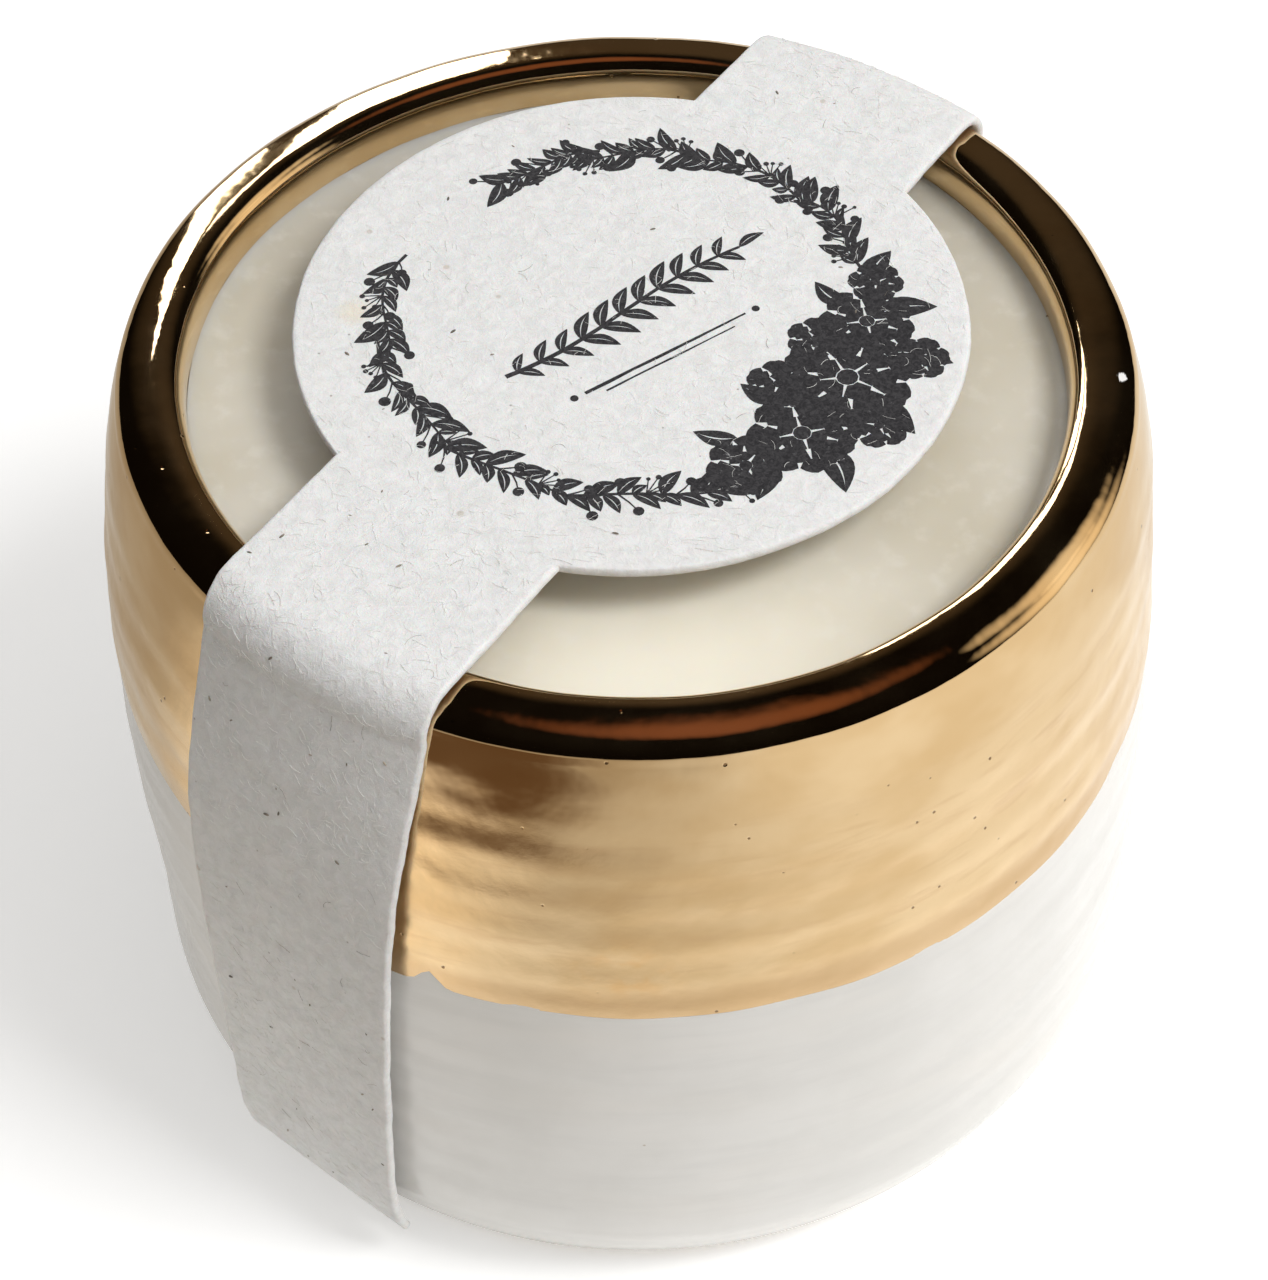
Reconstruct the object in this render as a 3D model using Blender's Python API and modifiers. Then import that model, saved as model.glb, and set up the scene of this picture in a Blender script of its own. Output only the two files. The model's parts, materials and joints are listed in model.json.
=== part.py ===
"""Candle poured in a lustre-rimmed ceramic vessel, closed by a folded seed-paper band.

Metres, +Z up. The origin is the centre of the vessel's flat foot, on the surface it stands on.
The band runs across the mouth, over the rim and down both sides. Its two creases are hinges:
the whole band swings up on the rear crease, and the front leg opens outward on the front one.
"""

import math

import bmesh
import bpy
from mathutils import Vector

# Clearance between pieces that touch
GAP = 0.0003

# Vessel: thrown, round-bellied, with a rolled rim
VESSEL_HEIGHT = 0.0700
FOOT_RADIUS = 0.0390
BELLY_RADIUS = 0.0440
BELLY_HEIGHT = 0.0130
SHOULDER_RADIUS = 0.0425
SHOULDER_HEIGHT = 0.0500
SHOULDER_SLOPE = -0.10
RIM_RADIUS = 0.0371
LIP_THICKNESS = 0.0054
LIP_TURN = math.radians(20)
WALL_THICKNESS = 0.0046
FLOOR_THICKNESS = 0.0060
CAVITY_CORNER = 0.0040

# Gold lustre fired over the shoulder, the rim and the inside of the lip
LUSTRE_THICKNESS = 0.0004
LUSTRE_EDGE_HEIGHT = 0.0435

# Wax, wick and the tab that holds the wick
WAX_DROP = 0.0042
WICK_RADIUS = 0.0011
WICK_ABOVE_WAX = 0.0038
SUSTAINER_RADIUS = 0.0100
SUSTAINER_THICKNESS = 0.0004
NECK_RADIUS = 0.0020
NECK_HEIGHT = 0.0090
PAD_RADIUS = 0.0095
PAD_THICKNESS = 0.0010

# Seed-paper band: a strip with a round label in its middle
PAPER_THICKNESS = 0.0008
STRIP_WIDTH = 0.0200
STRIP_AZIMUTH = math.radians(54.3)
LABEL_RADIUS = 0.0262
LABEL_SHIFT = 0.0025
BAND_SIDE_SHIFT = 0.0012
LEG_END_HEIGHT = 0.0015
FRONT_LEG_SLANT = 0.0020
FRONT_LEG_TWIST = math.radians(4.5)
CREASE_ANGLE = math.radians(45)

# Spots of glue between the legs and the belly
GLUE_RADIUS = 0.0030
GLUE_THICKNESS = 0.0003
GLUE_ABOVE_BELLY = 0.0020

# Facets
TURN_STEPS = 72
SMALL_TURN_STEPS = 32
WALL_POINTS = 7
ARC_POINTS = 6
LEG_POINTS = 30

# Heights and radii that follow from the sizes above
LIP_RADIUS = LIP_THICKNESS / 2
LIP_CENTRE_HEIGHT = VESSEL_HEIGHT - LIP_RADIUS
LIP_JOIN_HEIGHT = LIP_CENTRE_HEIGHT + LIP_RADIUS * math.sin(LIP_TURN)
LIP_JOIN_RADIUS = RIM_RADIUS + LIP_RADIUS * math.cos(LIP_TURN)
WAX_HEIGHT = VESSEL_HEIGHT - WAX_DROP
PAD_BASE = FLOOR_THICKNESS + GAP
SUSTAINER_BASE = PAD_BASE + PAD_THICKNESS + GAP
NECK_TOP = SUSTAINER_BASE + NECK_HEIGHT
BEND_RADIUS = LIP_RADIUS + GAP + PAPER_THICKNESS / 2
BAND_HEIGHT = LIP_CENTRE_HEIGHT + BEND_RADIUS
LEG_GAP = GLUE_THICKNESS + 2 * GAP

STRIP_ALONG = Vector((math.cos(STRIP_AZIMUTH), math.sin(STRIP_AZIMUTH), 0))
STRIP_ACROSS = Vector((-math.sin(STRIP_AZIMUTH), math.cos(STRIP_AZIMUTH), 0))
UP = Vector((0, 0, 1))


# Scene

def clear_scene():
    for thing in list(bpy.data.objects):
        bpy.data.objects.remove(thing, do_unlink=True)


def new_collection(name):
    collection = bpy.data.collections.new(name)
    bpy.context.scene.collection.children.link(collection)
    return collection


def new_material(name, colour, roughness, metallic=0.0):
    material = bpy.data.materials.new(name)
    material.use_nodes = True
    shader = material.node_tree.nodes["Principled BSDF"]
    shader.inputs["Base Color"].default_value = (*colour, 1.0)
    shader.inputs["Roughness"].default_value = roughness
    shader.inputs["Metallic"].default_value = metallic
    return material


def new_object(name, mesh, collection, material=None):
    thing = bpy.data.objects.new(name, mesh)
    collection.objects.link(thing)
    if material:
        mesh.materials.append(material)
    return thing


# Vessel curves

def hermite(start, end, slope_start, slope_end, span, fraction):
    """Cubic from start to end over span, with the given slopes at its ends."""
    t = fraction
    return ((2 * t**3 - 3 * t**2 + 1) * start + (t**3 - 2 * t**2 + t) * span * slope_start
            + (3 * t**2 - 2 * t**3) * end + (t**3 - t**2) * span * slope_end)


def outer_radius(height):
    """Outside of the vessel: a curve up to the belly, then a slow taper that turns in at the rim."""
    if height <= BELLY_HEIGHT:
        below = 1 - height / BELLY_HEIGHT
        return BELLY_RADIUS - (BELLY_RADIUS - FOOT_RADIUS) * below**2
    if height <= SHOULDER_HEIGHT:
        span = SHOULDER_HEIGHT - BELLY_HEIGHT
        fraction = (height - BELLY_HEIGHT) / span
        return hermite(BELLY_RADIUS, SHOULDER_RADIUS, 0, SHOULDER_SLOPE, span, fraction)
    span = LIP_JOIN_HEIGHT - SHOULDER_HEIGHT
    fraction = min(1, (height - SHOULDER_HEIGHT) / span)
    return hermite(SHOULDER_RADIUS, LIP_JOIN_RADIUS, SHOULDER_SLOPE, -math.tan(LIP_TURN), span, fraction)


def cavity_radius(height):
    """Inside of the vessel: one wall thickness in, meeting the lip upright."""
    if height <= SHOULDER_HEIGHT:
        return outer_radius(height) - WALL_THICKNESS
    span = LIP_CENTRE_HEIGHT - SHOULDER_HEIGHT
    fraction = (height - SHOULDER_HEIGHT) / span
    shoulder = SHOULDER_RADIUS - WALL_THICKNESS
    return hermite(shoulder, RIM_RADIUS - LIP_RADIUS, SHOULDER_SLOPE, 0, span, fraction)


def spaced(start, end, count):
    """count values from start to end, both included."""
    return [start + (end - start) * i / (count - 1) for i in range(count)]


def arc(centre_x, centre_y, radius, start, end, count):
    return [(centre_x + radius * math.cos(a), centre_y + radius * math.sin(a))
            for a in spaced(start, end, count)]


def rim_path(inside_end, outside_end, inset):
    """Points from the inside of the lip, over the rim and down the outside, moved inset into the wall."""
    inside = [(cavity_radius(z) + inset, z) for z in spaced(inside_end, LIP_CENTRE_HEIGHT, 3)]
    lip = arc(RIM_RADIUS, LIP_CENTRE_HEIGHT, LIP_RADIUS - inset, math.pi, LIP_TURN, 2 * ARC_POINTS)
    outside = [(outer_radius(z) - inset, z) for z in spaced(LIP_JOIN_HEIGHT, outside_end, WALL_POINTS)]
    return inside + lip[1:] + outside[1:]


# Body makers

def turned(name, profile, collection, material, steps=TURN_STEPS, closed=False):
    """A solid of revolution about Z. profile lists (radius, height) down the outer side."""
    mesh = bpy.data.meshes.new(name)
    count = len(profile)
    edges = [(i, i + 1) for i in range(count - 1)]
    if closed:
        edges.append((count - 1, 0))
    mesh.from_pydata([(r, 0, z) for r, z in profile], edges, [])
    thing = new_object(name, mesh, collection, material)
    screw = thing.modifiers.new("Turn", "SCREW")
    screw.axis = "Z"
    screw.steps = steps
    screw.render_steps = steps
    screw.use_merge_vertices = True
    screw.merge_threshold = 0.00001
    screw.use_smooth_shade = True
    bake(thing)
    thing.data.shade_smooth()
    thing.data.set_sharp_from_angle(angle=math.radians(35))
    return thing


def bake(thing):
    """Replaces the object's mesh by the one its modifiers make."""
    graph = bpy.context.evaluated_depsgraph_get()
    old = thing.data
    thing.data = bpy.data.meshes.new_from_object(thing.evaluated_get(graph))
    thing.modifiers.clear()
    name = old.name
    bpy.data.meshes.remove(old)
    thing.data.name = name


def ribbon(name, stations, width, collection, material):
    """A band of paper through stations, each a (centre, direction across) pair."""
    shape = bmesh.new()
    rows = []
    for centre, across in stations:
        rows.append([shape.verts.new(centre - across * width / 2), shape.verts.new(centre),
                     shape.verts.new(centre + across * width / 2)])
    for above, below in zip(rows, rows[1:]):
        for left in range(2):
            shape.faces.new((above[left], below[left], below[left + 1], above[left + 1]))
    mesh = bpy.data.meshes.new(name)
    shape.to_mesh(mesh)
    shape.free()
    thing = new_object(name, mesh, collection, material)
    sheet = thing.modifiers.new("Thickness", "SOLIDIFY")
    sheet.thickness = PAPER_THICKNESS
    sheet.offset = 0
    sheet.use_even_offset = True
    bake(thing)
    return thing


def disc(name, radius, thickness, centre, axis, collection, material, steps=SMALL_TURN_STEPS):
    """A round plate whose middle is at centre and whose flat faces look along axis."""
    shape = bmesh.new()
    bmesh.ops.create_cone(shape, cap_ends=True, segments=steps, radius1=radius, radius2=radius,
                          depth=thickness)
    mesh = bpy.data.meshes.new(name)
    shape.to_mesh(mesh)
    shape.free()
    thing = new_object(name, mesh, collection, material)
    mesh.transform(UP.rotation_difference(axis).to_matrix().to_4x4())
    for vertex in mesh.vertices:
        vertex.co += centre
    return thing


def hang_on(thing, pivot):
    """Gives the object its origin on pivot, with its shape left in place."""
    offset = pivot.matrix_world.translation
    for vertex in thing.data.vertices:
        vertex.co -= offset
    thing.parent = pivot


def new_pivot(name, place, collection, parent=None):
    pivot = bpy.data.objects.new(name, None)
    pivot.empty_display_size = STRIP_WIDTH / 2
    collection.objects.link(pivot)
    pivot.location = place
    if parent:
        pivot.parent = parent
        pivot.location = place - parent.matrix_world.translation
    bpy.context.view_layer.update()
    return pivot


# Vessel pieces

def make_vessel(collection, material):
    """The pot. Where the lustre lies it is set back by the coat's thickness and a clearance."""
    setback = LUSTRE_THICKNESS + GAP
    corner_height = FLOOR_THICKNESS + CAVITY_CORNER
    corner_radius = cavity_radius(corner_height) - CAVITY_CORNER
    floor_corner = arc(corner_radius, corner_height, CAVITY_CORNER, -math.pi / 2, 0, ARC_POINTS)
    inner_wall = [(cavity_radius(z), z) for z in spaced(corner_height, WAX_HEIGHT, WALL_POINTS)]
    rim = rim_path(WAX_HEIGHT, LUSTRE_EDGE_HEIGHT - GAP, setback)
    lower_wall = [(outer_radius(z), z) for z in spaced(LUSTRE_EDGE_HEIGHT - GAP, BELLY_HEIGHT, WALL_POINTS)]
    foot_curve = [(outer_radius(z), z) for z in spaced(BELLY_HEIGHT, 0, ARC_POINTS)]
    profile = [(0, FLOOR_THICKNESS)] + floor_corner + inner_wall[1:] + rim
    profile += lower_wall + foot_curve[1:] + [(0, 0)]
    return turned("vessel_body", profile, collection, material)


def make_lustre(collection, material):
    """The gold coat, as a thin shell flush with the glaze below it."""
    outside = rim_path(WAX_HEIGHT + GAP, LUSTRE_EDGE_HEIGHT, 0)
    backing = rim_path(WAX_HEIGHT + GAP, LUSTRE_EDGE_HEIGHT, LUSTRE_THICKNESS)
    return turned("gold_lustre", outside + backing[::-1], collection, material, closed=True)


def make_wax(collection, material):
    """The wax, which fills the cavity round the wick, its tab and the pad below."""
    corner = CAVITY_CORNER - GAP
    corner_height = FLOOR_THICKNESS + CAVITY_CORNER
    corner_radius = cavity_radius(corner_height) - CAVITY_CORNER
    wall = [(cavity_radius(z) - GAP, z) for z in spaced(WAX_HEIGHT, corner_height, WALL_POINTS)]
    floor_corner = arc(corner_radius, corner_height, corner, 0, -math.pi / 2, ARC_POINTS)
    pocket_radius = SUSTAINER_RADIUS + GAP
    pocket_top = SUSTAINER_BASE + SUSTAINER_THICKNESS + GAP
    bore = [(pocket_radius, FLOOR_THICKNESS + GAP), (pocket_radius, pocket_top),
            (NECK_RADIUS + GAP, pocket_top), (NECK_RADIUS + GAP, NECK_TOP + GAP),
            (WICK_RADIUS + GAP, NECK_TOP + GAP), (WICK_RADIUS + GAP, WAX_HEIGHT)]
    return turned("wax_fill", wall + floor_corner[1:] + bore, collection, material, closed=True)


def make_sustainer(collection, material):
    """The metal tab under the wick: a round plate with a crimped neck."""
    plate_top = SUSTAINER_BASE + SUSTAINER_THICKNESS
    bore = WICK_RADIUS + GAP
    profile = [(bore, NECK_TOP), (NECK_RADIUS, NECK_TOP), (NECK_RADIUS, plate_top),
               (SUSTAINER_RADIUS, plate_top), (SUSTAINER_RADIUS, SUSTAINER_BASE), (bore, SUSTAINER_BASE)]
    return turned("wick_sustainer", profile, collection, material, SMALL_TURN_STEPS, closed=True)


def make_wick(collection, material):
    top = WAX_HEIGHT + WICK_ABOVE_WAX
    centre = Vector((0, 0, (top + SUSTAINER_BASE) / 2))
    return disc("wick", WICK_RADIUS, top - SUSTAINER_BASE, centre, UP, collection, material, 16)


def make_pad(collection, material):
    centre = Vector((0, 0, PAD_BASE + PAD_THICKNESS / 2))
    return disc("sustainer_pad", PAD_RADIUS, PAD_THICKNESS, centre, UP, collection, material)


# Band pieces

def bend_point(side, angle):
    """Middle of the paper on its bend over the rim. side is +1 at the rear and -1 at the front."""
    reach = RIM_RADIUS + BEND_RADIUS * math.cos(angle)
    height = LIP_CENTRE_HEIGHT + BEND_RADIUS * math.sin(angle)
    return STRIP_ALONG * side * reach + STRIP_ACROSS * BAND_SIDE_SHIFT + UP * height


def leg_stations(side, slant, twist):
    """Middle of a leg from its crease, round the bend and down the wall to its end.

    Lower down the leg moves slant across the strip and turns by twist about the upright axis.
    """
    stations = [(bend_point(side, a), STRIP_ACROSS) for a in spaced(CREASE_ANGLE, 0, ARC_POINTS)]
    for height in spaced(LIP_CENTRE_HEIGHT, LEG_END_HEIGHT, LEG_POINTS)[1:]:
        fallen = (LIP_CENTRE_HEIGHT - height) / (LIP_CENTRE_HEIGHT - LEG_END_HEIGHT)
        opened = hermite(0, 1, 0, 0, 1, min(1, 2 * fallen))
        reach = outer_radius(height) + GAP + (LEG_GAP - GAP) * opened + PAPER_THICKNESS / 2
        turn = side * twist * fallen
        outward = STRIP_ALONG * side * math.cos(turn) + STRIP_ACROSS * side * math.sin(turn)
        across = STRIP_ACROSS * math.cos(turn) - STRIP_ALONG * math.sin(turn)
        centre = outward * reach + across * (BAND_SIDE_SHIFT + slant * fallen) + UP * height
        stations.append((centre, across))
    return stations


def make_leg(name, side, slant, twist, collection, material):
    return ribbon(name, leg_stations(side, slant, twist), STRIP_WIDTH, collection, material)


def make_band_top(collection, cutters, material):
    """The strip across the mouth with the round label in its middle.

    Each end stops short of its crease by half the paper's thickness and a clearance,
    so that the leg's end can turn there.
    """
    stop_angle = CREASE_ANGLE + (PAPER_THICKNESS / 2 + GAP) / BEND_RADIUS
    bend = spaced(stop_angle, math.pi / 2, ARC_POINTS)
    places = [bend_point(1, a) for a in bend] + [bend_point(-1, a) for a in reversed(bend)]
    strip = ribbon("band_top", [(place, STRIP_ACROSS) for place in places], STRIP_WIDTH,
                   collection, material)
    centre = STRIP_ALONG * LABEL_SHIFT + STRIP_ACROSS * BAND_SIDE_SHIFT + UP * BAND_HEIGHT
    label = disc("label_blank", LABEL_RADIUS, PAPER_THICKNESS, centre, UP, cutters, None, TURN_STEPS)
    label.hide_render = True
    label.display_type = "WIRE"
    join = strip.modifiers.new("Label", "BOOLEAN")
    join.operation = "UNION"
    join.solver = "EXACT"
    join.object = label
    bpy.context.view_layer.update()
    bake(strip)
    return strip


def make_glue_spot(name, side, slant, twist, collection, material):
    """A flat spot of glue behind the middle of the leg, leaning with the wall it is stuck to."""
    height = BELLY_HEIGHT + GLUE_ABOVE_BELLY
    fallen = (LIP_CENTRE_HEIGHT - height) / (LIP_CENTRE_HEIGHT - LEG_END_HEIGHT)
    turn = side * twist * fallen
    outward = STRIP_ALONG * side * math.cos(turn) + STRIP_ACROSS * side * math.sin(turn)
    narrowing = outer_radius(height - GLUE_RADIUS) - outer_radius(height + GLUE_RADIUS)
    facing = (outward * 2 * GLUE_RADIUS + UP * narrowing).normalized()
    centre = outward * outer_radius(height) + UP * height + facing * (GAP + GLUE_THICKNESS / 2)
    return disc(name, GLUE_RADIUS, GLUE_THICKNESS, centre, facing, collection, material)


def main():
    clear_scene()
    parts = new_collection("unity_candle")
    cutters = new_collection("cutters")
    cutters.hide_render = True

    glaze = new_material("white_glaze", (0.86, 0.85, 0.82), 0.25)
    lustre = new_material("gold_lustre", (0.83, 0.62, 0.36), 0.16, 1.0)
    wax = new_material("ivory_wax", (0.90, 0.85, 0.73), 0.45)
    paper = new_material("seed_paper", (0.88, 0.87, 0.85), 0.95)
    cotton = new_material("wick_cotton", (0.88, 0.85, 0.78), 0.95)
    tin = new_material("tinned_steel", (0.72, 0.72, 0.72), 0.35, 1.0)
    card = new_material("pad_paper", (0.90, 0.90, 0.88), 0.80)
    glue = new_material("clear_glue", (0.85, 0.83, 0.76), 0.30)

    make_vessel(parts, glaze)
    make_lustre(parts, lustre)
    make_wax(parts, wax)
    make_sustainer(parts, tin)
    make_wick(parts, cotton)
    make_pad(parts, card)

    rear_pivot = new_pivot("rear_crease", bend_point(1, CREASE_ANGLE), parts)
    front_pivot = new_pivot("front_crease", bend_point(-1, CREASE_ANGLE), parts, rear_pivot)
    hang_on(make_band_top(parts, cutters, paper), rear_pivot)
    front_leg = make_leg("band_front_leg", -1, FRONT_LEG_SLANT, FRONT_LEG_TWIST, parts, paper)
    hang_on(front_leg, front_pivot)
    make_leg("band_rear_leg", 1, 0, 0, parts, paper)
    make_glue_spot("front_glue_spot", -1, FRONT_LEG_SLANT, FRONT_LEG_TWIST, parts, glue)
    make_glue_spot("rear_glue_spot", 1, 0, 0, parts, glue)


main()
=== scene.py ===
"""The looks of a candle poured in a lustre-rimmed ceramic vessel, closed by a seed-paper band.

Metres, +Z up. The origin is the centre of the vessel's foot, on the floor. Azimuths are degrees
counterclockwise from +X, seen from above, and the camera stands at azimuth 270.
"""

import json
import math
import random

import bmesh
import bpy
import numpy as np
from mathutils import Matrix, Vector


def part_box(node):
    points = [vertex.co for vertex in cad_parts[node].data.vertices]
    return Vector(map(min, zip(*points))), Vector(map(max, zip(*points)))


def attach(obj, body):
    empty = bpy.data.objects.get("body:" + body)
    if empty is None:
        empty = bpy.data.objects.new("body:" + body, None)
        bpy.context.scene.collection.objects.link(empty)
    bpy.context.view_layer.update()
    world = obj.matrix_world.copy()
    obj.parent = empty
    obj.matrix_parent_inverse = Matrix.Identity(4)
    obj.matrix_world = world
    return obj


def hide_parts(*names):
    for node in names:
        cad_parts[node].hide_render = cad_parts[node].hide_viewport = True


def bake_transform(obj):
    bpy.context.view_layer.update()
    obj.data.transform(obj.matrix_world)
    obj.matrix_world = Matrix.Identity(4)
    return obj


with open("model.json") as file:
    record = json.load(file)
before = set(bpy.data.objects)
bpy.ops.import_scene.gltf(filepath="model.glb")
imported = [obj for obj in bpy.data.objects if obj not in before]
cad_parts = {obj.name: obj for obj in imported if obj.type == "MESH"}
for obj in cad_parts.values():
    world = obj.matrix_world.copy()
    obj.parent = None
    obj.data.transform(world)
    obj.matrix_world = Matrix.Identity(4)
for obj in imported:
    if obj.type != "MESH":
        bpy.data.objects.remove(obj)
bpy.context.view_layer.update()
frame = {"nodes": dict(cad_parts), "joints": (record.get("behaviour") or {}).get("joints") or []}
joints = {joint["name"]: joint for joint in frame["joints"]}

MM = 0.001

# Sizes shared with the CAD part, from the frame where a node's box gives them
VESSEL_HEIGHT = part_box("gold_lustre")[1].z
BELLY_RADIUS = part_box("vessel_body")[1].x
WAX_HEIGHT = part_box("wax_fill")[1].z
FLOOR_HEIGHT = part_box("wax_fill")[0].z
WICK_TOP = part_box("wick")[1].z
WICK_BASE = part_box("wick")[0].z
WICK_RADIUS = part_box("wick")[1].x
SUSTAINER_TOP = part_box("wick_sustainer")[1].z
SUSTAINER_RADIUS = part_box("wick_sustainer")[1].x
LEG_END_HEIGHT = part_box("band_rear_leg")[0].z
FOOT_RADIUS = 39.0 * MM
BELLY_HEIGHT = 13.0 * MM
SHOULDER_RADIUS = 42.5 * MM
SHOULDER_HEIGHT = 50.0 * MM
SHOULDER_SLOPE = -0.10
RIM_RADIUS = 37.1 * MM
LIP_RADIUS = 2.7 * MM
LIP_TURN = math.radians(20)
LIP_FULLNESS = 2.8
LIP_RISE = 1.08
LIP_LEAN = 0.17
WALL_THICKNESS = 4.6 * MM
LUSTRE_EDGE = 43.5 * MM
PAPER_THICKNESS = 0.8 * MM
STRIP_HALF_WIDTH = 10.0 * MM
LABEL_RADIUS = 26.2 * MM
LABEL_SHIFT = 2.5 * MM
SIDE_SHIFT = 1.2 * MM
LEG_GAP = 0.5 * MM
FRONT_SLANT = -0.6 * MM
LEG_HANG = 0.8
LEG_LIFT = 4.2 * MM
FRONT_TWIST = math.radians(4.5)

LIP_HEIGHT = VESSEL_HEIGHT - LIP_RADIUS
LIP_JOIN_HEIGHT = LIP_HEIGHT + LIP_RADIUS * math.sin(LIP_TURN)
LIP_JOIN_RADIUS = RIM_RADIUS + LIP_RADIUS * math.cos(LIP_TURN)

UP = np.array((0.0, 0.0, 1.0))
STRIP_ACROSS = np.array(joints["rear_crease"]["axis"], float)
STRIP_ALONG = np.cross(STRIP_ACROSS, UP)
STRIP_AZIMUTH = math.atan2(STRIP_ALONG[1], STRIP_ALONG[0])
LABEL_CENTRE = STRIP_ALONG * LABEL_SHIFT + STRIP_ACROSS * SIDE_SHIFT

# The paper lies closer to the lip than the solid that stands for it
PAPER_LIFT = 0.15 * MM
CURL = 0.85
BEND_RADIUS = LIP_RADIUS + PAPER_LIFT + PAPER_THICKNESS / 2
PAPER_HEIGHT = LIP_HEIGHT + BEND_RADIUS
PAPER_TOP = PAPER_HEIGHT + PAPER_THICKNESS / 2


# Numbers

def smooth(value, low, high):
    """0 below low, 1 above high, and smooth between them."""
    t = np.clip((value - low) / (high - low), 0, 1)
    return t * t * (3 - 2 * t)


def near(azimuth, centre, spread):
    """A bump of height 1 at centre degrees, fading over spread degrees."""
    away = (np.degrees(azimuth) - centre + 180) % 360 - 180
    return np.exp(-(away / spread) ** 2)


def bump(value, centre, spread):
    return np.exp(-((value - centre) / spread) ** 2)


def lumps(points, wavelength, seed, waves=14):
    """Smooth random relief of about unit size at these points."""
    dice = np.random.RandomState(seed)
    total = np.zeros(points.shape[:-1])
    for _ in range(waves):
        direction = dice.normal(size=3)
        direction *= 2 * math.pi / (np.linalg.norm(direction) * wavelength * dice.uniform(0.7, 1.6))
        total += np.sin(points @ direction + dice.uniform(0, 2 * math.pi))
    return total / math.sqrt(waves)


def hermite(start, end, slope_start, slope_end, span, t):
    return ((2 * t**3 - 3 * t**2 + 1) * start + (t**3 - 2 * t**2 + t) * span * slope_start
            + (3 * t**2 - 2 * t**3) * end + (t**3 - t**2) * span * slope_end)


# Vessel curves

def outer_radius(height):
    """Outside of the vessel: a curve up to the belly, then a taper that turns in at the rim."""
    height = np.asarray(height, float)
    foot = BELLY_RADIUS - (BELLY_RADIUS - FOOT_RADIUS) * (1 - height / BELLY_HEIGHT) ** 2
    wall_span = SHOULDER_HEIGHT - BELLY_HEIGHT
    wall = hermite(BELLY_RADIUS, SHOULDER_RADIUS, 0, SHOULDER_SLOPE, wall_span,
                   np.clip((height - BELLY_HEIGHT) / wall_span, 0, 1))
    top_span = LIP_JOIN_HEIGHT - SHOULDER_HEIGHT
    top = hermite(SHOULDER_RADIUS, LIP_JOIN_RADIUS, SHOULDER_SLOPE, -math.tan(LIP_TURN), top_span,
                  np.clip((height - SHOULDER_HEIGHT) / top_span, 0, 1))
    return np.where(height < BELLY_HEIGHT, foot, np.where(height < SHOULDER_HEIGHT, wall, top))


def inner_radius(height):
    """Inside of the vessel: one wall thickness in, meeting the lip upright."""
    span = LIP_HEIGHT - SHOULDER_HEIGHT
    top = hermite(SHOULDER_RADIUS - WALL_THICKNESS, RIM_RADIUS - LIP_RADIUS, SHOULDER_SLOPE, 0, span,
                  np.clip((height - SHOULDER_HEIGHT) / span, 0, 1))
    return np.where(height < SHOULDER_HEIGHT, outer_radius(height) - WALL_THICKNESS, top)


def hand_made(azimuth, height):
    """How far the thrown wall stands off its true circle: soft dents, ovality and finger ripples."""
    shift = -1.15 * near(azimuth, 234, 38) * smooth(height, 51 * MM, 64 * MM)
    shift += 0.40 * near(azimuth, 150, 32) * smooth(height, 54 * MM, 66 * MM)
    shift += 0.35 * near(azimuth, 185, 26) * bump(height, 52 * MM, 7 * MM)
    shift -= 1.10 * near(azimuth, 190, 28) * bump(height, 18 * MM, 14 * MM)
    shift += 0.10 * np.cos(2 * azimuth + 1) + 0.06 * np.cos(3 * azimuth + 2)
    drift = height / MM + 1.2 * np.sin(azimuth + 0.6) + 0.5 * np.sin(3 * azimuth)
    ripple = 0.030 * np.sin(drift * 1.55) + 0.030 * np.sin(drift * 0.83 + 2 * azimuth + 1.1)
    shift += ripple * (1 - smooth(height, 60 * MM, 66 * MM)) * smooth(height, 2 * MM, 8 * MM)
    return shift * MM


def turned_points(azimuths, radii, heights, loose=1.0):
    """Grid of points on the hand-made vessel, whose radii and heights may vary with the azimuth."""
    turn = azimuths[:, None]
    radii, heights = np.broadcast_arrays(radii, heights)
    radius = radii + hand_made(turn, heights) * loose
    z = np.broadcast_to(heights, radius.shape)
    return np.stack([radius * np.cos(turn), radius * np.sin(turn), z], -1)


def full_turn(steps):
    return np.arange(steps) * 2 * math.pi / steps


def lip_arc(start, end, count):
    """(radius, height) points over the lip, from angle start to angle end.

    The section is a full, squarish round whose top leans outward.
    """
    angles = np.linspace(start, end, count)
    across = np.sign(np.cos(angles)) * np.abs(np.cos(angles)) ** (2 / LIP_FULLNESS)
    rise = np.abs(np.sin(angles)) ** (2 / LIP_FULLNESS) * (LIP_RISE - LIP_LEAN * (1 + across))
    return RIM_RADIUS + LIP_RADIUS * across, LIP_HEIGHT + LIP_RADIUS * rise


# Meshes

def add_object(name, data):
    thing = bpy.data.objects.new(name, data)
    bpy.context.scene.collection.objects.link(thing)
    return thing


def new_piece(name, mesh, material, sharp=40):
    """An object for this mesh, welded, with its faces pointing out and its shading smooth."""
    shape = bmesh.new()
    shape.from_mesh(mesh)
    bmesh.ops.remove_doubles(shape, verts=shape.verts, dist=1e-7)
    bmesh.ops.dissolve_degenerate(shape, edges=shape.edges, dist=1e-8)
    bmesh.ops.recalc_face_normals(shape, faces=shape.faces)
    shape.to_mesh(mesh)
    shape.free()
    mesh.materials.append(material)
    mesh.shade_smooth()
    mesh.set_sharp_from_angle(angle=math.radians(sharp))
    return add_object(name, mesh)


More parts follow.
